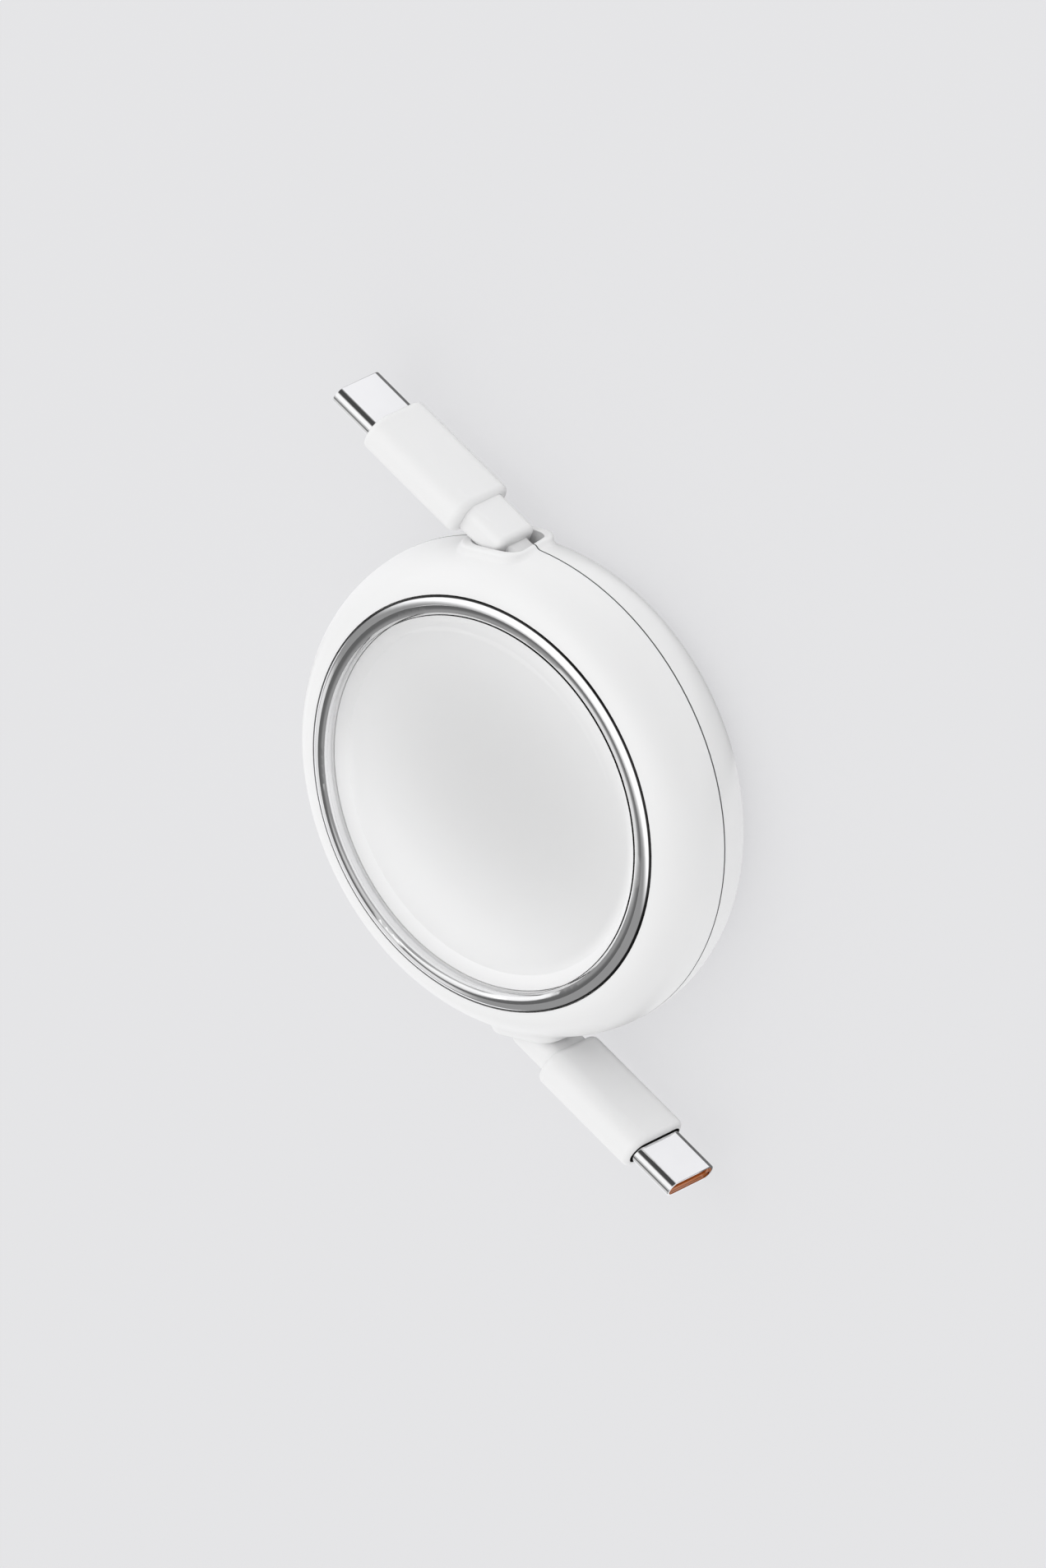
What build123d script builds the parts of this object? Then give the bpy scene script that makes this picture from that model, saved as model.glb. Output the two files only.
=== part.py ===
from build123d import *
import math
import os

# Retractable charging cable: a round puck with a spring reel and a plug on each end of one flat cable.
# Millimetres. The origin is on the reel axis in the resting face, +Z is the window side,
# and +X is the way plug B pulls out. Plug A is plug B turned half a turn about Z.

# Flat cable and its double roll
cable_w = 4.0
cable_t = 1.5
cable_edge_r = 0.6
turn_gap = 0.05
pull_half_turns = 6

# Reel
flange_t = 1.0
flange_lip = 1.0
cable_side_gap = 0.25
hub_wall = 1.4
bore_gap = 0.05
lid_peg_r = 0.6
lid_peg_h = 1.2
lid_peg_gap = 0.05
lid_peg_angles = (120, 180, 240)

# Mainspring
spring_t = 0.25
spring_w = 4.0
spring_half_turns = 12
spring_gap = 0.12
spring_hook = 1.0
hook_gap = 0.12

# Post, screw and thrust faces
post_r = 3.0
post_slit_depth = 1.5
collar_r = 4.6
thrust_gap = 0.05
lid_gap = 0.15
screw_r = 0.95
screw_gap = 0.05
screw_len = 6.0
screw_head_r = 2.0
screw_head_h = 0.8
screw_head_gap = 0.15
screw_socket_w = 0.5
screw_socket_depth = 0.5
screw_boss_r = 3.6
screw_boss_h = 0.5

# Latch arm and the cam track under the reel
arm_t = 1.0
arm_gap = 0.3
arm_w = 1.8
arm_len = 12.0
arm_eye_r = 1.9
pivot_r = 1.0
pivot_gap = 0.05
pivot_rise = 0.4
pin_r = 0.5
pin_gap = 0.2
pin_engage = 0.9
track_gap = 0.25
track_h = 1.2
track_mid_r = 12.0
track_wall = 0.8
island_w = 2.0
island_angle = 28.0
island_count = 6
island_nose_r = 0.7

# Casing
floor_t = 1.5
wall = 2.1
reel_gap = 1.4
shoulder = 5.2
front_floor_t = 1.3
shell_t = 1.6
seam_line_w = 0.2
seam_line_depth = 0.5
tongue_w = 0.9
tongue_h = 0.8
tongue_gap = 0.1

# Window, its backing plate and the trim ring
plate_t = 0.8
plate_rim_w = 1.7
plate_gap = 0.15
film_t = 0.03
window_r = 24.0
window_gap = 0.1
window_edge_h = 1.2
window_round_w = 2.6
window_round_h = 0.8
window_dome_h = 0.3
ring_w = 2.0
ring_inner_gap = 0.3
ring_gap = 0.15
ring_side_h = 1.0
ring_inner_h = 1.4
ring_crest_h = 1.5
ring_crest_w = 0.95
ring_inner_bow = 6.0
ring_outer_bow = 1.45
ring_seat_rise = 0.8

# Cable exits
mouth_gap = 0.2
mouth_past_neck = 3.25
mouth_round = 0.12
lip_w = 1.0
lip_rise = 0.2
lip_tilt = 3.0
lip_round = 0.5
lip_blend = 0.9
slot_gap = 0.4

# Plugs, by distance back from the tip
shell_w = 8.25
shell_h = 2.4
shell_wall = 0.25
shell_out = 6.4
shell_in = 2.6
shell_edge = 0.1
insert_gap = 0.03
insert_recess = 0.35
insert_len = 8.2
tongue_slot_w = 6.9
tongue_slot_h = 0.9
tongue_slot_depth = 6.0
contact_pitch = 0.5
contact_w = 0.28
contact_h = 0.12
contact_len = 4.6
contact_recess = 0.9
contact_rows = ((1, 4, 5, 6, 7, 9, 12), (1, 4, 5, 9, 12))
contact_places = 12
board_w = 7.0
board_t = 0.7
board_len = 8.4
chip_size = 2.2
chip_h = 0.7
can_w = 8.2
can_h = 3.3
can_wall = 0.2
can_r = 1.1
can_gap = 0.03
can_front = 7.4
can_len = 10.6
grip_w = 9.9
grip_t = 5.2
grip_r = 2.35
grip_len = 16.0
grip_front_round = 0.7
reveal_gap = 0.3
reveal_depth = 0.9
grip_rear_round = 0.9
neck_w = 6.6
neck_t = 3.9
neck_r = 1.25
neck_len = 6.25
neck_round = 0.9
neck_root = 2.0
neck_gap = 0.03
neck_sink = 1.2
lead_gap = 0.02

# Sizes that follow from those above
pocket_r = window_r + window_gap
ring_inner_r = window_r + ring_inner_gap
ring_r = ring_inner_r + ring_w
flat_r = ring_r
case_r = flat_r + shoulder
cavity_r = case_r - wall
flange_r = cavity_r - reel_gap
roll_r = flange_r - flange_lip
layer = cable_t + turn_gap
exit_y = roll_r - cable_t / 2
hub_r = exit_y - cable_t / 2 - turn_gap - (pull_half_turns + 1) * layer

arm_z = floor_t + arm_gap
track_z = arm_z + arm_t + track_gap
flange_z = track_z + track_h
roll_floor_z = flange_z + flange_t
cable_z = roll_floor_z + cable_side_gap
seam_z = cable_z + cable_w / 2
lid_z = cable_z + cable_w + cable_side_gap
post_top_z = lid_z + flange_t + lid_gap
front_inner_z = post_top_z + screw_boss_h
plate_z = front_inner_z + front_floor_t
window_z = plate_z + plate_t
ring_z = window_z + ring_seat_rise
front_z = ring_z + ring_side_h

spring_cup_r = hub_r - hub_wall
fold_y = exit_y - (pull_half_turns + 0.5) * layer
lane_w = 2 * (pin_r + pin_gap)
lane_in_r = track_mid_r - (island_w + lane_w) / 2
lane_out_r = track_mid_r + (island_w + lane_w) / 2
pivot_xy = arm_len, track_mid_r
screw_seat_z = plate_z - screw_head_h - screw_head_gap

rim_x = math.sqrt(case_r**2 - exit_y**2)
neck_end_x = rim_x - neck_sink
mouth_floor_x = neck_end_x - mouth_past_neck
plug_len = shell_out + grip_len + neck_len
tip_x = neck_end_x + plug_len
mouth_w = neck_w + 2 * mouth_gap
mouth_t = neck_t + 2 * mouth_gap
mouth_r = neck_r + mouth_gap
slant = rim_x / case_r
lip_mid = lip_rise * exit_y / rim_x
lip_len = mouth_t / slant + 2 * lip_w
lip_lean = case_r * math.tan(math.radians(lip_tilt))
exit_plane = Plane((rim_x, -exit_y, seam_z), x_dir=(exit_y, rim_x, 0), z_dir=(rim_x, -exit_y, lip_lean))
grip_front = shell_out
grip_rear = shell_out + grip_len
beyond = 2 * case_r
touch = 0.001


# Shared shapes
def ring(outer_r, inner_r, z, height):
    """A flat ring about the reel axis, standing on z."""
    return Pos(0, 0, z) * extrude(Circle(outer_r) - Circle(inner_r), height)


def disc(radius, z, height, x=0, y=0):
    """An upright cylinder standing on z."""
    return Pos(x, y, z) * extrude(Circle(radius), height)


def turned(outline):
    """A profile in radius and height, turned about the reel axis."""
    return revolve(Plane.XZ * make_face(outline), Axis.Z)


def along_plug(section, front, rear):
    """A section held along plug B's axis between two distances back from its tip."""
    start = Pos(tip_x - rear, -exit_y, seam_z)
    return start * extrude(Plane.YZ * section, rear - front)


def soft_box(width, thickness, radius):
    """A rounded section for the plug, its width along Z and its thickness along Y."""
    return RectangleRounded(thickness, width, radius)


def half_ring(radius, thickness, center_y, side):
    """Half a flat ring on the right (side 1) or left (side -1) of the Y axis."""
    band = Circle(radius + thickness / 2) - Circle(radius - thickness / 2)
    reach = 2 * (radius + thickness)
    half = Pos(side * reach / 2, 0) * Rectangle(reach, 2 * reach)
    return Pos(0, center_y) * (band & half)


def half_turn(shape):
    """The same piece at the other exit."""
    return Rot(0, 0, 180) * shape


# Casing
def closed_puck():
    """The puck before its exits are added, turned from a profile with two rounded shoulders."""
    low = EllipticalCenterArc((flat_r, seam_z), shoulder, seam_z, 270, arc_size=90)
    high = EllipticalCenterArc((flat_r, seam_z), shoulder, front_z - seam_z, 0, arc_size=90)
    closing = Polyline(high @ 1, (0, front_z), (0, 0), low @ 0)
    return turned(low + high + closing)


def mouth_section():
    return soft_box(mouth_w, mouth_t, mouth_r)


def exit_run(section, start_x, end_x):
    """A section held along exit B's axis, from start_x out to end_x."""
    return Pos(start_x, -exit_y, seam_z) * extrude(Plane.YZ * section, end_x - start_x)


def exit_lip():
    """A flat-topped boss on the rim, leaning back a little at the front, where the cable slants out."""
    outline = RectangleRounded(lip_len, mouth_w + 2 * lip_w, mouth_r + lip_w)
    return exit_plane * Pos(lip_mid, 0, -wall) * extrude(outline, wall + lip_rise)


def lip_face(body):
    """The flat top of exit B's lip."""
    def on_top(face):
        at = exit_plane.to_local_coords(face.center())
        return abs(at.Z - lip_rise) < touch and abs(at.X) < lip_len and abs(at.Y) < mouth_w
    return body.faces().filter_by(GeomType.PLANE).filter_by(on_top)[0]


def shared_edges(body, first, second):
    """The edges that lie on the surface of two shapes at once."""
    def on_both(edge):
        spots = [Vertex(*(edge @ spot)) for spot in (0.3, 0.7)]
        return all(shape.distance_to(spot) < touch for shape in (first, second) for spot in spots)
    return body.edges().filter_by(on_both)


def add_exit(body, puck):
    """Exit B: a raised lip blended into the puck, and a soft-edged mouth cut through it."""
    lip = exit_lip()
    body = body + lip
    body = fillet(lip_face(body).outer_wire().edges(), lip_round)
    body = fillet(shared_edges(body, puck, lip), lip_blend)
    body = body - exit_run(mouth_section(), mouth_floor_x, beyond)
    return fillet(lip_face(body).inner_wires()[0].edges(), mouth_round)


def case_outside():
    """The closed puck with an exit on each side."""
    puck = closed_puck()
    body = puck
    for _ in range(2):
        body = half_turn(add_exit(body, puck))
    return body


def cable_slots():
    """The narrow ways from the mouths to the reel."""
    section = soft_box(cable_w + 2 * slot_gap, cable_t + 2 * slot_gap, cable_edge_r + slot_gap)
    slot = exit_run(section, 0, mouth_floor_x)
    return slot + half_turn(slot)


def cavity():
    """The space for the reel, with a rounded back edge and a cored front shoulder."""
    core_r = pocket_r + shell_t
    back_flat_r = flat_r - shell_t
    low = EllipticalCenterArc((back_flat_r, seam_z), cavity_r - back_flat_r, seam_z - floor_t, 270, arc_size=90)
    core_top_z = ring_z - shell_t
    high = EllipticalCenterArc((core_r, seam_z), cavity_r - core_r, core_top_z - seam_z, 0, arc_size=90)
    closing = Polyline(high @ 1, (core_r, front_inner_z), (0, front_inner_z), (0, floor_t), low @ 0)
    return turned(low + high + closing)


def post_slit():
    """The slit in the post that holds the spring's inner end."""
    width = spring_t + 2 * hook_gap
    depth = post_r - post_slit_depth + spring_gap
    height = spring_w + cable_side_gap
    x = -spring_t / 2
    return Pos(x, post_slit_depth + depth / 2, seam_z) * Box(width, depth, height)


def back_cover(outside, slots):
    lower = Pos(0, 0, -beyond / 2 + seam_z) * Box(2 * beyond, 2 * beyond, beyond)
    tongue = ring(cavity_r + tongue_w, cavity_r, seam_z, tongue_h)
    mouth = exit_run(mouth_section(), 0, beyond)
    tongue = tongue - mouth - half_turn(mouth)
    shell = (outside & lower) - cavity() - slots + tongue
    post = disc(post_r, floor_t, post_top_z - floor_t)
    collar = disc(collar_r, floor_t, track_z - thrust_gap - floor_t)
    pilot_z = screw_seat_z - screw_len - screw_gap
    pilot = disc(screw_r + screw_gap, pilot_z, beyond)
    pivot = disc(pivot_r, floor_t, arm_gap + arm_t + pivot_rise, *pivot_xy)
    pivot_foot = disc(arm_eye_r, floor_t, arm_gap - thrust_gap, *pivot_xy)
    return shell + post + collar + pivot + pivot_foot - pilot - post_slit()


def front_cover(outside, slots):
    upper = Pos(0, 0, beyond / 2 + seam_z) * Box(2 * beyond, 2 * beyond, beyond)
    groove = ring(cavity_r + tongue_w + tongue_gap, cavity_r - tongue_gap, seam_z, tongue_h + tongue_gap)
    seam_cut = ring(beyond, case_r - seam_line_depth, seam_z, seam_line_w)
    ring_seat = disc(ring_r + ring_gap, ring_z, beyond)
    pocket = disc(pocket_r, plate_z, beyond)
    boss = disc(screw_boss_r, post_top_z, screw_boss_h)
    shell = (outside & upper) - cavity() - slots - groove - seam_cut + boss
    screw_way = disc(screw_r + 2 * screw_gap, 0, beyond)
    head_way = disc(screw_head_r + screw_head_gap, screw_seat_z, beyond)
    return shell - ring_seat - pocket - screw_way - head_way


# Window, plate, ring and screw
def face_plate():
    """The pale disc behind the window, with a turned-up rim."""
    flat = window_r - plate_rim_w
    rim_rise = ring_seat_rise - plate_gap
    top = window_z
    outline = Polyline(
        (0, plate_z),
        (flat, plate_z),
        (window_r, plate_z + rim_rise),
        (window_r, top + rim_rise),
        (flat, top),
        (0, top),
        close=True,
    )
    return turned(outline)


def window():
    """The clear cap, a film's thickness above the plate: bevelled below, softly domed above."""
    flat = window_r - plate_rim_w
    low_z = window_z + film_t
    side_low = low_z + ring_seat_rise - plate_gap
    side_high = ring_z + window_edge_h
    inner_r = window_r - window_round_w
    round_z = side_high + window_round_h
    apex_z = round_z + window_dome_h
    edge = EllipticalCenterArc((inner_r, side_high), window_round_w, window_round_h, 0, arc_size=90)
    slope_r = (inner_r**2 + window_dome_h**2) / (2 * window_dome_h)
    dome = RadiusArc(edge @ 1, (0, apex_z), -slope_r)
    rest = Polyline((0, apex_z), (0, low_z), (flat, low_z), (window_r, side_low), edge @ 0)
    return turned(edge + dome + rest)


def trim_ring():
    """The bright ring round the window: an almost flat inner band, and a full round outside it."""
    inner_top = ring_inner_r, ring_z + ring_inner_h
    crest = ring_inner_r + ring_crest_w, ring_z + ring_crest_h
    outer_top = ring_r, ring_z + ring_side_h
    slopes = RadiusArc(inner_top, crest, ring_inner_bow) + RadiusArc(crest, outer_top, ring_outer_bow)
    sides = Polyline(outer_top, (ring_r, ring_z), (ring_inner_r, ring_z), inner_top)
    return turned(slopes + sides)


def center_screw():
    head = disc(screw_head_r, screw_seat_z, screw_head_h)
    shank = disc(screw_r, screw_seat_z - screw_len, screw_len)
    arm = Rectangle(2 * screw_head_r * screw_socket_w, screw_head_r * screw_socket_w / 2)
    cross = arm + Rot(0, 0, 90) * arm
    socket = Pos(0, 0, screw_seat_z + screw_head_h - screw_socket_depth) * extrude(cross, screw_socket_depth)
    return head + shank - socket


# Reel
def fold_half(grow):
    """The half disc that the cable's folded middle fills beside the hub."""
    radius = layer / 2 + cable_t / 2 + grow
    half = Circle(radius) & Pos(-radius, 0) * Rectangle(2 * radius, 2 * radius)
    return Pos(0, -fold_y) * half


def hub_outline():
    """A snail-shaped hub: each half follows the inside of the innermost turn on its side."""
    right_r = exit_y - (pull_half_turns + 0.5) * layer - cable_t / 2 - turn_gap
    left_r = right_r + layer
    right = Pos(0, layer / 2) * Circle(right_r) & Pos(beyond / 2, 0) * Rectangle(beyond, 2 * beyond)
    left = Pos(0, -layer / 2) * Circle(left_r) & Pos(-beyond / 2, 0) * Rectangle(beyond, 2 * beyond)
    return right + left - fold_half(turn_gap)


def track_island():
    """One stop of the cam track: a nose that steers the pin and a notch that catches it."""
    inner_r = track_mid_r - island_w / 2
    outer_r = track_mid_r + island_w / 2
    inside = CenterArc((0, 0), inner_r, -island_angle / 2, island_angle)
    outside = CenterArc((0, 0), outer_r, -island_angle / 2, island_angle)
    block = make_face(inside + outside + Line(inside @ 0, outside @ 0) + Line(inside @ 1, outside @ 1))
    nose = block.vertices().sort_by(Axis.Y)[-2:]
    block = fillet(nose, island_nose_r)
    notch_at = Location((0, 0, 0), (0, 0, -island_angle / 2)) * Pos(track_mid_r, 0)
    return block - notch_at * Circle(pin_r + pin_gap / 2)


def reel():
    flange = disc(flange_r, flange_z, flange_t)
    hub = Pos(0, 0, roll_floor_z) * extrude(hub_outline(), lid_z - roll_floor_z)
    boss = disc(collar_r, track_z, track_h)
    inner_wall_r = lane_in_r - lane_w / 2
    outer_wall_r = lane_out_r + lane_w / 2
    inner_wall = ring(inner_wall_r, inner_wall_r - track_wall, track_z, track_h)
    outer_wall = ring(outer_wall_r + track_wall, outer_wall_r, track_z, track_h)
    island = Pos(0, 0, track_z) * extrude(track_island(), track_h)
    body = flange + hub + boss + inner_wall + outer_wall
    for index in range(island_count):
        body += Rot(0, 0, index * 360 / island_count) * island
    cup = disc(spring_cup_r, roll_floor_z, beyond)
    bore = disc(post_r + bore_gap, 0, beyond)
    notch_w = spring_t + 2 * hook_gap
    notch_depth = spring_hook + spring_t + hook_gap
    notch_y = spring_cup_r - spring_t + notch_depth / 2
    notch = Pos(-spring_t / 2, notch_y, seam_z) * Box(notch_w, notch_depth, lid_z - roll_floor_z)
    body = body - cup - bore - notch
    for angle in lid_peg_angles:
        depth = lid_peg_h + lid_peg_gap
        hole = disc(lid_peg_r + lid_peg_gap, lid_z - depth, beyond, *peg_place(angle))
        body -= hole
    return body


def peg_place(angle):
    """A lid peg's place, in the thicker half of the hub."""
    radius = spring_cup_r + hub_wall
    turn = math.radians(angle)
    return radius * math.cos(turn), radius * math.sin(turn)


def reel_lid():
    """The upper flange, which also closes the spring cup."""
    lid = disc(flange_r, lid_z, flange_t) - disc(post_r + bore_gap, 0, beyond)
    for angle in lid_peg_angles:
        lid += disc(lid_peg_r, lid_z - lid_peg_h, lid_peg_h, *peg_place(angle))
    return lid


def wound_cable():
    """Both halves of the cable wound side by side, joined by the fold at the hub."""
    side_a = 1
    roll = Sketch()
    for index in range(pull_half_turns + 1):
        radius = exit_y - (index + 0.5) * layer
        side = side_a if index % 2 == 0 else -side_a
        roll += half_ring(radius, cable_t, side * layer / 2, side)
        if index < pull_half_turns:
            roll += half_ring(radius, cable_t, -side * layer / 2, -side)
    return Pos(0, 0, cable_z) * extrude(roll + fold_half(0), cable_w)


def mainspring():
    """A flat spiral from the post's slit out to the hook in the hub wall."""
    start_y = post_r + spring_gap + spring_t / 2
    end_y = spring_cup_r - spring_gap - spring_t / 2
    step = (end_y - start_y) / spring_half_turns
    spiral = Sketch()
    for index in range(spring_half_turns):
        side = -1 if index % 2 == 0 else 1
        radius = start_y + (index + 0.5) * step
        spiral += half_ring(radius, spring_t, side * step / 2, side)
    inner_len = start_y - post_slit_depth - hook_gap
    inner = Pos(-spring_t / 2, start_y - inner_len / 2) * Rectangle(spring_t, inner_len)
    outer = Pos(-spring_t / 2, end_y + (spring_hook + spring_gap) / 2)
    outer = outer * Rectangle(spring_t, spring_hook + spring_gap)
    corner = Pos(-spring_t / 2, end_y) * Rectangle(spring_t, spring_t)
    return Pos(0, 0, seam_z - spring_w / 2) * extrude(spiral + inner + outer + corner, spring_w)


# Latch arm
def latch_arm():
    """The follower lever at rest in the track's inner lane."""
    pivot_reach = math.hypot(*pivot_xy)
    cos_turn = (pivot_reach**2 + arm_len**2 - lane_in_r**2) / (2 * pivot_reach * arm_len)
    to_center = math.degrees(math.atan2(pivot_xy[1], pivot_xy[0])) + 180
    heading = to_center - math.degrees(math.acos(cos_turn))
    eye = Circle(arm_eye_r)
    end = Pos(arm_len, 0) * Circle(arm_w / 2)
    bar = Pos(arm_len / 2, 0) * Rectangle(arm_len, arm_w)
    plan = eye + bar + end - Circle(pivot_r + pivot_gap)
    lever = extrude(plan, arm_t) + disc(pin_r, arm_t, track_gap + pin_engage, arm_len, 0)
    return Pos(*pivot_xy, arm_z) * Rot(0, 0, heading) * lever


# Plug pieces, made as plug B
def plug_shell():
    outer = along_plug(SlotOverall(shell_w, shell_h, 90), 0, shell_out + shell_in)
    rim = outer.faces().sort_by(Axis.X)[-1].edges()
    outer = fillet(rim, shell_edge)
    inner = SlotOverall(shell_w - 2 * shell_wall, shell_h - 2 * shell_wall, 90)
    return outer - along_plug(inner, -shell_out, beyond)


def plug_insert():
    width = shell_w - 2 * (shell_wall + insert_gap)
    height = shell_h - 2 * (shell_wall + insert_gap)
    block = along_plug(SlotOverall(width, height, 90), insert_recess, insert_recess + insert_len)
    slot = along_plug(Rectangle(tongue_slot_h, tongue_slot_w), 0, insert_recess + tongue_slot_depth)
    return block - slot


def plug_contacts():
    """The spring contacts on both walls of the slot, in the places a charging plug uses."""
    front = insert_recess + contact_recess
    contacts = Part()
    for side, places in zip((1, -1), contact_rows):
        y = side * (tongue_slot_h - contact_h) / 2
        for place in places:
            z = side * (place - (contact_places + 1) / 2) * contact_pitch
            contacts += along_plug(Pos(y, z) * Rectangle(contact_h, contact_w), front, front + contact_len)
    return contacts


def board_front():
    return insert_recess + insert_len


def plug_board():
    return along_plug(Rectangle(board_t, board_w), board_front(), board_front() + board_len)


def plug_chip():
    front = board_front() + (board_len - chip_size) / 2
    section = Pos((board_t + chip_h) / 2, 0) * Rectangle(chip_h, chip_size)
    return along_plug(section, front, front + chip_size)


def can_section(grow):
    return soft_box(can_w + 2 * grow, can_h + 2 * grow, can_r + grow)


def plug_can():
    """The metal can that shields the board, open at its rear for the cable."""
    outer = along_plug(can_section(0), can_front, can_front + can_len)
    inner = along_plug(can_section(-can_wall), can_front + can_wall, beyond)
    shell = along_plug(SlotOverall(shell_w + 2 * can_gap, shell_h + 2 * can_gap, 90), 0, shell_out + shell_in)
    return outer - inner - shell


def plug_grip():
    """The moulded body, with softened ends and the pockets that hold what it covers."""
    body = along_plug(soft_box(grip_w, grip_t, grip_r), grip_front, grip_rear)
    body = fillet(body.faces().sort_by(Axis.X)[-1].edges(), grip_front_round)
    body = fillet(body.faces().sort_by(Axis.X)[0].edges(), grip_rear_round)
    shell = along_plug(SlotOverall(shell_w + 2 * can_gap, shell_h + 2 * can_gap, 90), 0, can_front)
    can = along_plug(can_section(can_gap), can_front - can_gap, can_front + can_len)
    root = along_plug(neck_section(neck_gap), can_front + can_len, grip_rear)
    reveal = SlotOverall(shell_w + 2 * reveal_gap, shell_h + 2 * reveal_gap, 90)
    return body - shell - can - root - along_plug(reveal, 0, grip_front + reveal_depth)


def neck_section(grow):
    return soft_box(neck_w + 2 * grow, neck_t + 2 * grow, neck_r + grow)


def plug_neck():
    """The strain relief behind the grip, moulded round the cable."""
    body = along_plug(neck_section(0), grip_rear - neck_root, plug_len)
    body = fillet(body.faces().sort_by(Axis.X)[0].edges(), neck_round)
    return body - along_plug(cable_section(lead_gap), 0, beyond)


def cable_section(grow):
    return soft_box(cable_w + 2 * grow, cable_t + 2 * grow, cable_edge_r + grow)


def cable_lead():
    """The straight stretch from the roll through the neck to the board."""
    return along_plug(cable_section(0), board_front() + board_len, tip_x)


def write(name, shape):
    shape.label = name
    export_step(shape, os.path.join("parts", name + ".step"))


os.makedirs("parts", exist_ok=True)
outside_shape = case_outside()
slot_cut = cable_slots()
write("back_cover", back_cover(outside_shape, slot_cut))
write("front_cover", front_cover(outside_shape, slot_cut))
write("trim_ring", trim_ring())
write("window", window())
write("face_plate", face_plate())
write("center_screw", center_screw())
write("latch_arm", latch_arm())
write("reel", reel())
write("reel_lid", reel_lid())
write("wound_cable", wound_cable())
write("mainspring", mainspring())

plug_pieces = {
    "shell": plug_shell(),
    "insert": plug_insert(),
    "contacts": plug_contacts(),
    "board": plug_board(),
    "chip": plug_chip(),
    "can": plug_can(),
    "grip": plug_grip(),
    "neck": plug_neck(),
    "cable": cable_lead(),
}
for piece_name, piece in plug_pieces.items():
    write("plug_b_" + piece_name, piece)
    write("plug_a_" + piece_name, half_turn(piece))

print("puck", 2 * case_r, "by", ring_z + window_edge_h + window_round_h + window_dome_h)
print("exit", exit_y, "neck end", neck_end_x, "tip", tip_x)
pull = math.pi * sum(exit_y - (index + 0.5) * layer for index in range(pull_half_turns))
print("pull per side", pull, "over", pull_half_turns / 2, "turns")
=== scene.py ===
import bmesh
import bpy
import math
from mathutils import Matrix, Vector


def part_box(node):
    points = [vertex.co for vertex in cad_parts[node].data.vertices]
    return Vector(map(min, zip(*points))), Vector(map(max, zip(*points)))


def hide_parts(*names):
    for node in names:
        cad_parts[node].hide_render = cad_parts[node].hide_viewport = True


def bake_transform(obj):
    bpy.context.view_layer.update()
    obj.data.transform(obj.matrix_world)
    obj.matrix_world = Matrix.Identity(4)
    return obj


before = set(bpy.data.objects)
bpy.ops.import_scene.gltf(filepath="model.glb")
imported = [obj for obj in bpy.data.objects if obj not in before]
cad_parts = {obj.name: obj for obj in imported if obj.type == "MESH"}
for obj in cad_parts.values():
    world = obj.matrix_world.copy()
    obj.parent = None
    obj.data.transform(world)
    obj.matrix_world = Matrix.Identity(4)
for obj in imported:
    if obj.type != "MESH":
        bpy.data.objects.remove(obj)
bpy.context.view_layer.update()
scene = bpy.context.scene
scene.view_settings.view_transform = "Standard"

# Camera: the photograph's view, almost without perspective
view_azimuth = 63.7
view_elevation = 45.0
view_roll = -115.7
view_height = 0.1888
view_target = Vector((0, 0, 0.0075))
lens = 1000.0
sensor = 36.0
clip_start = 0.01

# Background tone and floor
ground_tone = (0.783, 0.783, 0.800, 1)
ground_hold = 0.78
ground_glow = 0.93
floor_size = 4.0
floor_drop = 0.00005
floor_white = (0.95, 0.95, 0.955, 1)

# The floor that polished metal mirrors: it darkens along Y, and has a painted shadow right under each plug
mirror_reach = (0.055, 0.095)
mirror_levels = (1.39, 0.06)
painted_shadow_beside = (0.0040, 0.0052)

# Light on matt surfaces: the sky's tone as a quadratic along one direction, and one soft lamp
ambient = (-0.55, -0.15, 1.14)
ambient_toward = (0.87, 0.50, 0.0)
key_from = (-0.40, 0.30, 0.85)
key_size = 0.5
key_power = 0.4

# The studio that polished surfaces mirror: a white tent with a grey and a dark side, and panels
tent_far = ((-0.46, -0.16), (0.30, 1.15))
tent_near = ((0.42, 0.70), (1.0, 0.06))
softboxes = (
    ((-0.46, -0.49, 0.74), (0.9969, 0.9990), 0.75),
    ((-0.365, -0.485, 0.795), (0.9969, 0.9990), 0.75),
    ((-0.265, -0.48, 0.84), (0.9969, 0.9990), 0.35),
    ((-0.46, -0.84, 0.28), (0.940, 0.970), 0.5),
    ((-0.30, -0.62, 0.725), (0.978, 0.9945), -0.17),
)

# Span of the noise that drives a material's tone and gloss
noise_span = (0.3, 0.7)

# Share of light that the clear cap mirrors when seen square on, and how steeply it grows at a slant
square_on = 0.04
slant_power = 5

# Tone of painted shade in narrow gaps
gap_painted_shade = (0.03, 0.03, 0.03)

# The line of painted shade round the clear cap's edge, at its gap to the ring: the radius and the height
# above which it starts
cap_line_r = 0.02392
cap_line_z = 0.01545

# Painted sheen on the face plate, darker in the middle and paler outwards: its reach along X and Y in 1/m,
# and its tone from the middle out
painted_sheen_reach = (26.0, 42.0, 0)
painted_sheen_shift = (0, -0.15, 0)
painted_sheen_tones = ((0.0, 0.73), (0.38, 0.75), (0.72, 0.87), (0.95, 0.95))
painted_sheen_tint = 1.004

# The plate's painted highlight round its rim: the radii over which it comes in, and the direction in which it
# fades out again
rim_highlight = (0.0208, 0.0226)
rim_highlight_tone = (0.97, 0.97, 0.974)
rim_highlight_off_turn = math.radians(150)
rim_highlight_off_reach = (0.006, 0.016)

# The parting line's painted shade: its middle and half its width along Z, and the radius outside which it
# shows
seam_middle = 0.0076
seam_half = 0.000105
seam_inside = 0.03095
seam_shade = (0.22, 0.22, 0.22)

# The ring's dark outer edge, painted shade next to the casing: the heights over which it fades out, and the
# radius outside which it shows
ring_edge_fade = (0.01542, 0.01548)
ring_edge_inside = 0.0255

# Each plug's axis
plug_y = 0.02625
plug_z = 0.0075
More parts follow.
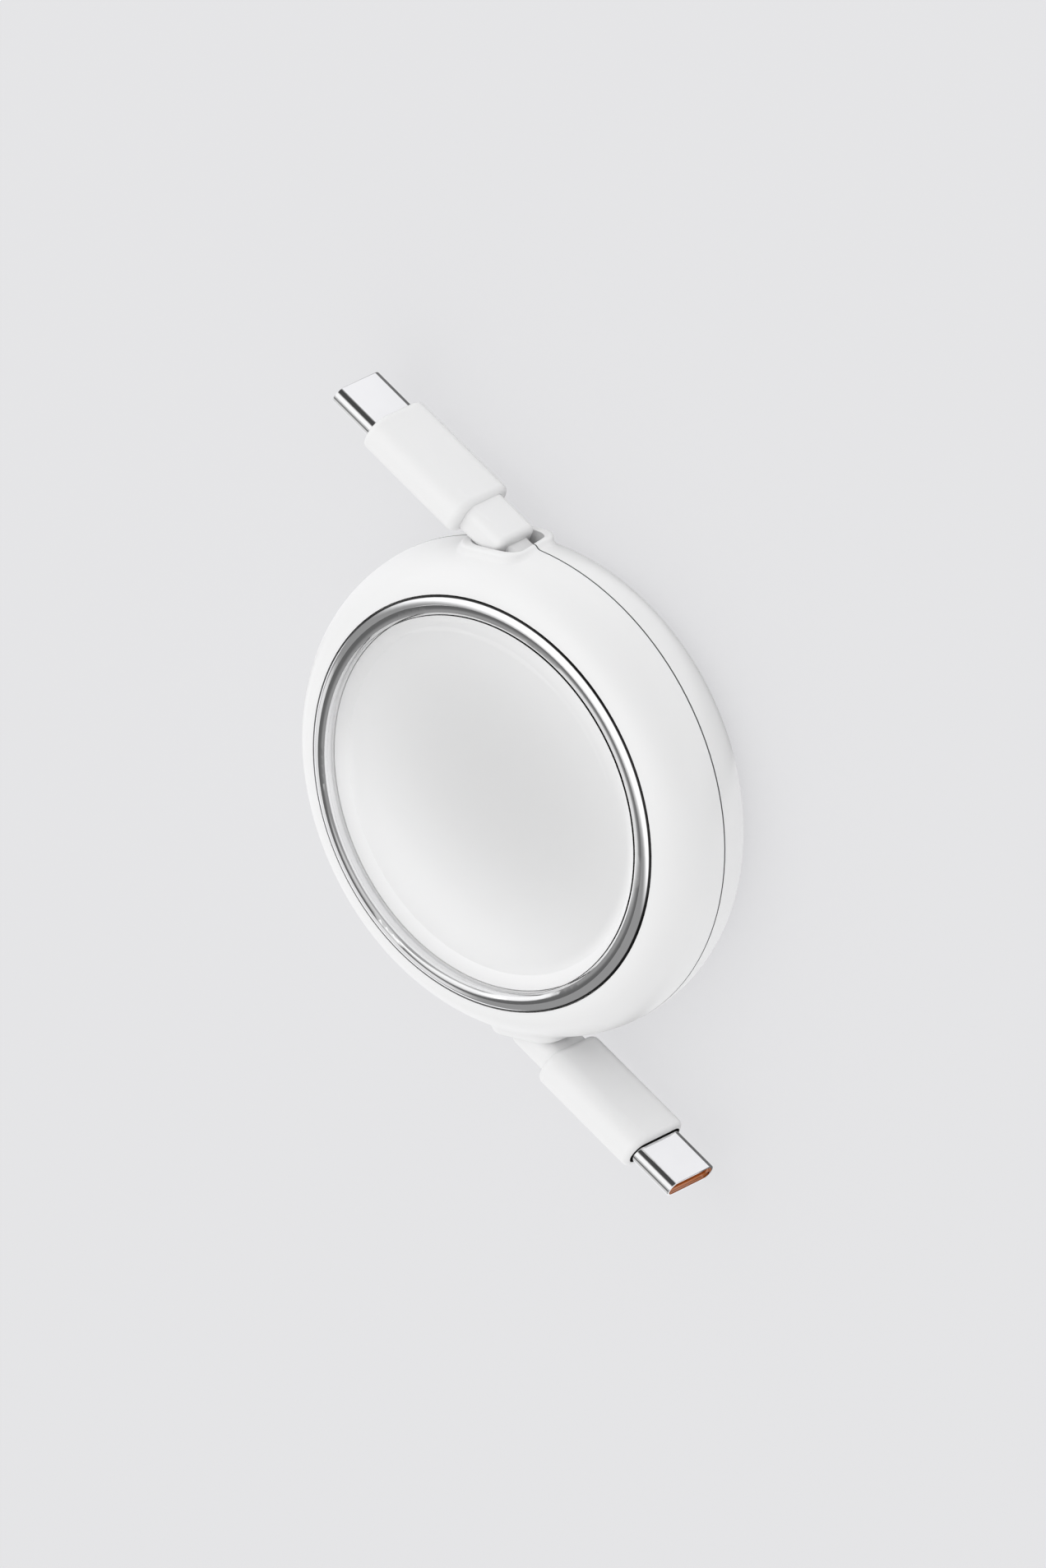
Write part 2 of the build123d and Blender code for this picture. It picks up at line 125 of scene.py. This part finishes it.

# Painted shade in the gap round each plug's shell: half its straight length, its reach from there, and where
# it starts in X
gap_straight = 0.002925
gap_reach = 0.00152
gap_from_x = 0.030


# Camera object
def aim_camera():
    turn = math.radians(view_azimuth)
    rise = math.radians(view_elevation)
    roll = math.radians(view_roll)
    back = Vector((math.cos(rise) * math.cos(turn), math.cos(rise) * math.sin(turn), math.sin(rise)))
    level_right = Vector((-math.sin(turn), math.cos(turn), 0))
    level_up = back.cross(level_right)
    right = math.cos(roll) * level_right + math.sin(roll) * level_up
    up = math.cos(roll) * level_up - math.sin(roll) * level_right
    distance = view_height * lens / sensor
    place = view_target + distance * back
    data = bpy.data.cameras.new("camera")
    data.lens = lens
    data.sensor_width = sensor
    data.clip_start = clip_start
    camera = bpy.data.objects.new("camera", data)
    camera.matrix_world = Matrix((
        (right.x, up.x, back.x, place.x),
        (right.y, up.y, back.y, place.y),
        (right.z, up.z, back.z, place.z),
        (0, 0, 0, 1),
    ))
    scene.collection.objects.link(camera)
    scene.camera = camera


# Node helpers
def calc(tree, operation, *values):
    """One step of arithmetic on sockets and plain numbers."""
    node = tree.nodes.new("ShaderNodeMath")
    node.operation = operation
    for socket, value in zip(node.inputs, values):
        if isinstance(value, bpy.types.NodeSocket):
            tree.links.new(value, socket)
        else:
            socket.default_value = value
    return node.outputs[0]


def seen_rays(tree):
    """1 for camera, glossy and transmission rays, which all see the background tone."""
    rays = tree.nodes.new("ShaderNodeLightPath").outputs
    seen = calc(tree, "MAXIMUM", rays["Is Camera Ray"], rays["Is Glossy Ray"])
    return calc(tree, "MAXIMUM", seen, rays["Is Transmission Ray"])


def soft_step(tree, value, edge, levels):
    """Goes smoothly from one level to the other between the edge's two ends."""
    node = tree.nodes.new("ShaderNodeMapRange")
    node.interpolation_type = "SMOOTHSTEP"
    node.inputs["From Min"].default_value = edge[0]
    node.inputs["From Max"].default_value = edge[1]
    node.inputs["To Min"].default_value = levels[0]
    node.inputs["To Max"].default_value = levels[1]
    tree.links.new(value, node.inputs["Value"])
    return node.outputs[0]


def along(tree, vector, toward):
    """How far a vector points in one direction."""
    node = tree.nodes.new("ShaderNodeVectorMath")
    node.operation = "DOT_PRODUCT"
    node.inputs[1].default_value = Vector(toward).normalized()
    tree.links.new(vector, node.inputs[0])
    return node.outputs["Value"]


# Floor, world and lamp
def make_floor():
    mesh = bpy.data.meshes.new("floor")
    half = floor_size / 2
    corners = [(-half, -half, 0), (half, -half, 0), (half, half, 0), (-half, half, 0)]
    mesh.from_pydata(corners, [], [(0, 1, 2, 3)])
    floor = bpy.data.objects.new("floor", mesh)
    floor.location.z = -floor_drop
    scene.collection.objects.link(floor)
    material = bpy.data.materials.new("floor_pale")
    material.use_nodes = True
    tree = material.node_tree
    tree.nodes.clear()
    out = tree.nodes.new("ShaderNodeOutputMaterial")
    mix = tree.nodes.new("ShaderNodeMixShader")
    matt = tree.nodes.new("ShaderNodeBsdfDiffuse")
    glow = tree.nodes.new("ShaderNodeEmission")
    matt.inputs["Color"].default_value = floor_white
    glow.inputs["Color"].default_value = ground_tone
    path = tree.nodes.new("ShaderNodeLightPath")
    place = tree.nodes.new("ShaderNodeTexCoord")
    split = tree.nodes.new("ShaderNodeSeparateXYZ")
    # Painted shadow on the floor's mirrored glow, right under each plug
    beside = calc(tree, "SUBTRACT", calc(tree, "ABSOLUTE", split.outputs["Y"]), plug_y)
    lit = soft_step(tree, calc(tree, "ABSOLUTE", beside), painted_shadow_beside, (0, 1))
    fade = calc(tree, "MULTIPLY", soft_step(tree, split.outputs["Y"], mirror_reach, mirror_levels), lit)
    level = tree.nodes.new("ShaderNodeMix")
    level.inputs["A"].default_value = ground_glow
    tree.links.new(place.outputs["Object"], split.inputs[0])
    tree.links.new(path.outputs["Is Glossy Ray"], level.inputs["Factor"])
    tree.links.new(fade, level.inputs["B"])
    tree.links.new(level.outputs["Result"], glow.inputs["Strength"])
    tree.links.new(calc(tree, "MULTIPLY", seen_rays(tree), ground_hold), mix.inputs["Fac"])
    tree.links.new(matt.outputs[0], mix.inputs[1])
    tree.links.new(glow.outputs[0], mix.inputs[2])
    tree.links.new(mix.outputs[0], out.inputs["Surface"])
    mesh.materials.append(material)


def make_world():
    """Soft light for matt surfaces, a tent with panels for polished ones, and the background tone."""
    world = bpy.data.worlds.new("studio")
    scene.world = world
    world.use_nodes = True
    tree = world.node_tree
    tree.nodes.clear()
    out = tree.nodes.new("ShaderNodeOutputWorld")
    coords = tree.nodes.new("ShaderNodeTexCoord")
    split = tree.nodes.new("ShaderNodeSeparateXYZ")
    tree.links.new(coords.outputs["Generated"], split.inputs[0])
    far = soft_step(tree, split.outputs["Y"], *tent_far)
    near = soft_step(tree, split.outputs["Y"], *tent_near)
    total = calc(tree, "MULTIPLY", far, near)
    for toward, edge, brightness in softboxes:
        panel = soft_step(tree, along(tree, coords.outputs["Generated"], toward), edge, (0, brightness))
        total = calc(tree, "ADD", total, panel)
    lean = along(tree, coords.outputs["Generated"], ambient_toward)
    slope = calc(tree, "MULTIPLY_ADD", lean, ambient[0], ambient[1])
    fill = calc(tree, "MULTIPLY_ADD", lean, slope, ambient[2])
    even = tree.nodes.new("ShaderNodeBackground")
    even.inputs["Color"].default_value = (1, 1, 1, 1)
    tree.links.new(fill, even.inputs["Strength"])
    pattern = tree.nodes.new("ShaderNodeBackground")
    pattern.inputs["Color"].default_value = (1, 1, 1, 1)
    tone = tree.nodes.new("ShaderNodeBackground")
    tone.inputs["Color"].default_value = ground_tone
    path = tree.nodes.new("ShaderNodeLightPath")
    reflected = tree.nodes.new("ShaderNodeMixShader")
    seen = tree.nodes.new("ShaderNodeMixShader")
    tree.links.new(total, pattern.inputs["Strength"])
    tree.links.new(path.outputs["Is Glossy Ray"], reflected.inputs["Fac"])
    tree.links.new(even.outputs[0], reflected.inputs[1])
    tree.links.new(pattern.outputs[0], reflected.inputs[2])
    tree.links.new(path.outputs["Is Camera Ray"], seen.inputs["Fac"])
    tree.links.new(reflected.outputs[0], seen.inputs[1])
    tree.links.new(tone.outputs[0], seen.inputs[2])
    tree.links.new(seen.outputs[0], out.inputs["Surface"])


def make_key():
    data = bpy.data.lights.new("key", "AREA")
    data.shape = "DISK"
    data.size = key_size
    data.energy = key_power
    key = bpy.data.objects.new("key", data)
    key.location = key_from
    key.rotation_euler = (-Vector(key_from)).to_track_quat("-Z", "Y").to_euler()
    key.visible_glossy = False
    scene.collection.objects.link(key)


# Materials
def new_material(name):
    material = bpy.data.materials.new(name)
    material.use_nodes = True
    return material, material.node_tree, material.node_tree.nodes["Principled BSDF"]


def noise(tree, scale, detail=2.0, stretch=(1, 1, 1)):
    """Noise in the object's own space, with the scale in bumps per metre."""
    coords = tree.nodes.new("ShaderNodeTexCoord")
    mapping = tree.nodes.new("ShaderNodeMapping")
    mapping.inputs["Scale"].default_value = stretch
    texture = tree.nodes.new("ShaderNodeTexNoise")
    texture.inputs["Scale"].default_value = scale
    texture.inputs["Detail"].default_value = detail
    tree.links.new(coords.outputs["Object"], mapping.inputs["Vector"])
    tree.links.new(mapping.outputs[0], texture.inputs["Vector"])
    return texture.outputs["Fac"]


def tint(tree, bsdf, value, dark, light):
    ramp = tree.nodes.new("ShaderNodeValToRGB")
    for element, place, colour in zip(ramp.color_ramp.elements, noise_span, (dark, light)):
        element.position = place
        element.color = (*colour, 1)
    tree.links.new(value, ramp.inputs["Fac"])
    tree.links.new(ramp.outputs["Color"], bsdf.inputs["Base Color"])


def rough(tree, bsdf, value, low, high):
    ramp = tree.nodes.new("ShaderNodeMapRange")
    ramp.inputs["From Min"].default_value = noise_span[0]
    ramp.inputs["From Max"].default_value = noise_span[1]
    ramp.inputs["To Min"].default_value = low
    ramp.inputs["To Max"].default_value = high
    tree.links.new(value, ramp.inputs["Value"])
    tree.links.new(ramp.outputs[0], bsdf.inputs["Roughness"])


def bump(tree, bsdf, value, height):
    node = tree.nodes.new("ShaderNodeBump")
    node.inputs["Strength"].default_value = 1.0
    node.inputs["Distance"].default_value = height
    tree.links.new(value, node.inputs["Height"])
    tree.links.new(node.outputs[0], bsdf.inputs["Normal"])


def spot(tree):
    """The shaded point in the object's own space."""
    coords = tree.nodes.new("ShaderNodeTexCoord")
    split = tree.nodes.new("ShaderNodeSeparateXYZ")
    tree.links.new(coords.outputs["Object"], split.inputs[0])
    return split.outputs["X"], split.outputs["Y"], split.outputs["Z"]


def distance(tree, first, second):
    squares = calc(tree, "ADD", calc(tree, "MULTIPLY", first, first), calc(tree, "MULTIPLY", second, second))
    return calc(tree, "SQRT", squares)


def paint_light(tree, bsdf, mask, tone):
    """Paints light or shade into the base colour: another tone where the mask is 1."""
    mix = tree.nodes.new("ShaderNodeMix")
    mix.data_type = "RGBA"
    mix.inputs["B"].default_value = (*tone, 1)
    colour = bsdf.inputs["Base Color"]
    tree.links.new(mask, mix.inputs["Factor"])
    tree.links.new(colour.links[0].from_socket, mix.inputs["A"])
    tree.links.new(mix.outputs["Result"], colour)


def shade_seam(material):
    """Painted shade on the parting line's walls, where its own shadow falls."""
    tree = material.node_tree
    x, y, z = spot(tree)
    near = calc(tree, "COMPARE", z, seam_middle, seam_half)
    outside = calc(tree, "GREATER_THAN", distance(tree, x, y), seam_inside)
    paint_light(tree, tree.nodes["Principled BSDF"], calc(tree, "MULTIPLY", near, outside), seam_shade)


def shade_edge(material):
    """Painted shade on the ring's outer edge, low down next to the casing."""
    tree = material.node_tree
    x, y, z = spot(tree)
    below = soft_step(tree, z, ring_edge_fade, (1, 0))
    outside = calc(tree, "GREATER_THAN", distance(tree, x, y), ring_edge_inside)
    paint_light(tree, tree.nodes["Principled BSDF"], calc(tree, "MULTIPLY", below, outside), gap_painted_shade)


def shade_gap(material):
    """Painted shade on the walls of the gap round a plug's shell, where its own shadow falls."""
    tree = material.node_tree
    x, y, z = spot(tree)
    across = calc(tree, "SUBTRACT", calc(tree, "ABSOLUTE", y), plug_y)
    aside = calc(tree, "ABSOLUTE", calc(tree, "SUBTRACT", z, plug_z))
    beyond = calc(tree, "MAXIMUM", calc(tree, "SUBTRACT", aside, gap_straight), 0)
    inside = calc(tree, "LESS_THAN", distance(tree, across, beyond), gap_reach)
    front = calc(tree, "GREATER_THAN", calc(tree, "ABSOLUTE", x), gap_from_x)
    paint_light(tree, tree.nodes["Principled BSDF"], calc(tree, "MULTIPLY", inside, front), gap_painted_shade)


def plastic(name, dark, light, gloss, grain, depth):
    """Moulded plastic: a fine spark-eroded grain and a slow drift of tone."""
    material, tree, bsdf = new_material(name)
    tint(tree, bsdf, noise(tree, 60), dark, light)
    fine = noise(tree, grain)
    rough(tree, bsdf, fine, *gloss)
    bump(tree, bsdf, fine, depth)
    return material


def metal(name, dark, light, gloss, grain, depth, stretch=(1, 1, 1)):
    material, tree, bsdf = new_material(name)
    bsdf.inputs["Metallic"].default_value = 1.0
    fine = noise(tree, grain, 3.0, stretch)
    tint(tree, bsdf, noise(tree, 120), dark, light)
    rough(tree, bsdf, fine, *gloss)
    bump(tree, bsdf, fine, depth)
    return material


def clear_cap(name):
    """Clear polished plastic: it mirrors a little, more at a slant, and has a line of painted shade round its
    edge.
    """
    material, tree, bsdf = new_material(name)
    bsdf.inputs["Metallic"].default_value = 1.0
    tint(tree, bsdf, noise(tree, 40), (0.96, 0.96, 0.96), (1.0, 1.0, 1.0))
    rough(tree, bsdf, noise(tree, 300), 0.015, 0.03)
    slant = tree.nodes.new("ShaderNodeLayerWeight")
    slant.inputs["Blend"].default_value = 0.5
    side = tree.nodes.new("ShaderNodeNewGeometry")
    rise = calc(tree, "POWER", slant.outputs["Facing"], slant_power)
    mirror = calc(tree, "MULTIPLY_ADD", rise, 1 - square_on, square_on)
    x, y, z = spot(tree)
    # Painted shade: a dark, opaque line round the cap's edge, where the gap to the ring lies
    outside = calc(tree, "GREATER_THAN", distance(tree, x, y), cap_line_r)
    shade_line = calc(tree, "MULTIPLY", outside, calc(tree, "GREATER_THAN", z, cap_line_z))
    paint_light(tree, bsdf, shade_line, gap_painted_shade)
    cover = calc(tree, "MAXIMUM", mirror, shade_line)
    share = calc(tree, "MULTIPLY", cover, calc(tree, "SUBTRACT", 1, side.outputs["Backfacing"]))
    through = tree.nodes.new("ShaderNodeBsdfTransparent")
    mix = tree.nodes.new("ShaderNodeMixShader")
    out = tree.nodes["Material Output"]
    tree.links.new(share, mix.inputs["Fac"])
    tree.links.new(through.outputs[0], mix.inputs[1])
    tree.links.new(bsdf.outputs[0], mix.inputs[2])
    tree.links.new(mix.outputs[0], out.inputs["Surface"])
    return material


def painted_sheen_plate(name):
    """The plate: a painted sheen that pales towards its rim, with a painted highlight round the rim."""
    material, tree, bsdf = new_material(name)
    coords = tree.nodes.new("ShaderNodeTexCoord")
    across = tree.nodes.new("ShaderNodeVectorMath")
    across.operation = "MULTIPLY_ADD"
    across.inputs[1].default_value = painted_sheen_reach
    across.inputs[2].default_value = painted_sheen_shift
    length = tree.nodes.new("ShaderNodeVectorMath")
    length.operation = "LENGTH"
    # Painted sheen: darker in the middle, paler towards the rim
    ramp = tree.nodes.new("ShaderNodeValToRGB")
    ramp.color_ramp.interpolation = "B_SPLINE"
    while len(ramp.color_ramp.elements) < len(painted_sheen_tones):
        ramp.color_ramp.elements.new(1.0)
    for element, (place, level) in zip(ramp.color_ramp.elements, painted_sheen_tones):
        element.position = place
        element.color = (level, level, level * painted_sheen_tint, 1)
    tree.links.new(coords.outputs["Object"], across.inputs[0])
    tree.links.new(across.outputs[0], length.inputs[0])
    tree.links.new(length.outputs["Value"], ramp.inputs["Fac"])
    tree.links.new(ramp.outputs["Color"], bsdf.inputs["Base Color"])
    x, y = spot(tree)[:2]
    # Painted highlight round the plate's rim, faded out on one side
    off_way = (math.cos(rim_highlight_off_turn), math.sin(rim_highlight_off_turn), 0)
    rim = soft_step(tree, distance(tree, x, y), rim_highlight, (0, 1))
    kept = soft_step(tree, along(tree, coords.outputs["Object"], off_way), rim_highlight_off_reach, (1, 0))
    paint_light(tree, bsdf, calc(tree, "MULTIPLY", rim, kept), rim_highlight_tone)
    fine = noise(tree, 9000)
    rough(tree, bsdf, fine, 0.30, 0.38)
    bump(tree, bsdf, fine, 0.0000005)
    return material


def dress(node, material):
    """Gives a CAD node a finished material in place of its plain one."""
    piece = bpy.data.objects[node]
    piece.data.materials.clear()
    piece.data.materials.append(material)


aim_camera()
make_floor()
make_world()
make_key()

# Each piece's finish
case_white = plastic("case_white", (0.86, 0.86, 0.862), (0.875, 0.875, 0.877), (0.34, 0.42), 5000, 0.000001)
grip_white = plastic("grip_white", (0.86, 0.86, 0.862), (0.875, 0.875, 0.877), (0.42, 0.52), 6000, 0.0000015)
neck_white = plastic("neck_white", (0.86, 0.86, 0.862), (0.875, 0.875, 0.877), (0.42, 0.52), 6000, 0.0000015)
cable_white = plastic("cable_white", (0.84, 0.84, 0.842), (0.86, 0.86, 0.862), (0.46, 0.56), 7000, 0.000002)
reel_plastic = plastic("reel_plastic", (0.60, 0.60, 0.61), (0.64, 0.64, 0.65), (0.38, 0.48), 4000, 0.000002)
latch_plastic = plastic("latch_plastic", (0.10, 0.10, 0.11), (0.13, 0.13, 0.14), (0.40, 0.50), 4000, 0.000002)
# The insert: its own orange, darkened throughout as painted shade for its place deep in the shell's mouth
insert_orange = plastic("insert_orange", (0.52, 0.15, 0.03), (0.58, 0.17, 0.035), (0.38, 0.48), 5000, 2e-6)
board_green = plastic("board_green", (0.02, 0.16, 0.07), (0.03, 0.20, 0.09), (0.30, 0.40), 3000, 0.000002)
chip_black = plastic("chip_black", (0.02, 0.02, 0.02), (0.03, 0.03, 0.03), (0.45, 0.55), 6000, 0.000002)
chrome = metal("chrome", (0.90, 0.90, 0.91), (0.93, 0.93, 0.935), (0.03, 0.05), 3000, 0.00000005)
plug_metal = metal("plug_metal", (0.79, 0.79, 0.795), (0.83, 0.83, 0.835), (0.07, 0.11), 4000, 0.0000002)
steel = metal("steel", (0.52, 0.52, 0.53), (0.60, 0.60, 0.61), (0.25, 0.35), 5000, 0.000001, (1, 1, 6))
gold = metal("gold", (0.82, 0.60, 0.25), (0.88, 0.66, 0.30), (0.15, 0.22), 5000, 0.0000005)

# Painted shade in the parting line, at the ring's outer edge and in the gap round each plug's shell
shade_seam(case_white)
shade_edge(chrome)
shade_gap(grip_white)

finishes = {
    "back_cover": case_white,
    "front_cover": case_white,
    "trim_ring": chrome,
    "window": clear_cap("clear_cap"),
    "face_plate": painted_sheen_plate("face_pale"),
    "center_screw": steel,
    "latch_arm": latch_plastic,
    "reel": reel_plastic,
    "reel_lid": reel_plastic,
    "wound_cable": cable_white,
    "mainspring": steel,
}
plug_finishes = {
    "shell": plug_metal,
    "insert": insert_orange,
    "contacts": gold,
    "board": board_green,
    "chip": chip_black,
    "can": steel,
    "grip": grip_white,
    "neck": neck_white,
    "cable": cable_white,
}
for plug in ("plug_a", "plug_b"):
    for part, finish in plug_finishes.items():
        finishes[plug + "_" + part] = finish
for node, finish in finishes.items():
    dress(node, finish)


# Cable between the reel and each plug, which draws out with the plug on the real thing; here a fixed ribbon
# in the CAD cable's place
def cable_ribbon(name, node, steps=48, corner=0.0006, corner_steps=6):
    low, high = (Vector(point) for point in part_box(node))
    middle = (low + high) / 2
    half_t = (high.y - low.y) / 2 - corner
    half_w = (high.z - low.z) / 2 - corner
    section = []
    for side, (along_y, along_z) in enumerate(((1, 1), (-1, 1), (-1, -1), (1, -1))):
        for index in range(corner_steps + 1):
            turn = math.pi / 2 * (side + index / corner_steps)
            y = middle.y + along_y * half_t + corner * math.cos(turn)
            z = middle.z + along_z * half_w + corner * math.sin(turn)
            section.append((y, z))
    shape = bmesh.new()
    loops = []
    for index in range(steps + 1):
        x = low.x + (high.x - low.x) * index / steps
        loops.append([shape.verts.new((x, y, z)) for y, z in section])
    count = len(section)
    for first, second in zip(loops, loops[1:]):
        for index in range(count):
            after = (index + 1) % count
            face = shape.faces.new((first[index], first[after], second[after], second[index]))
            face.smooth = True
    shape.faces.new(loops[-1])
    shape.faces.new(reversed(loops[0]))
    bmesh.ops.recalc_face_normals(shape, faces=shape.faces)
    mesh = bpy.data.meshes.new(name)
    shape.to_mesh(mesh)
    shape.free()
    mesh.materials.append(cable_white)
    ribbon = bpy.data.objects.new(name, mesh)
    scene.collection.objects.link(ribbon)
    return ribbon


for plug in ("plug_a", "plug_b"):
    ribbon = cable_ribbon(plug + "_ribbon", plug + "_cable")
    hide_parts(plug + "_cable")
    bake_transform(ribbon)
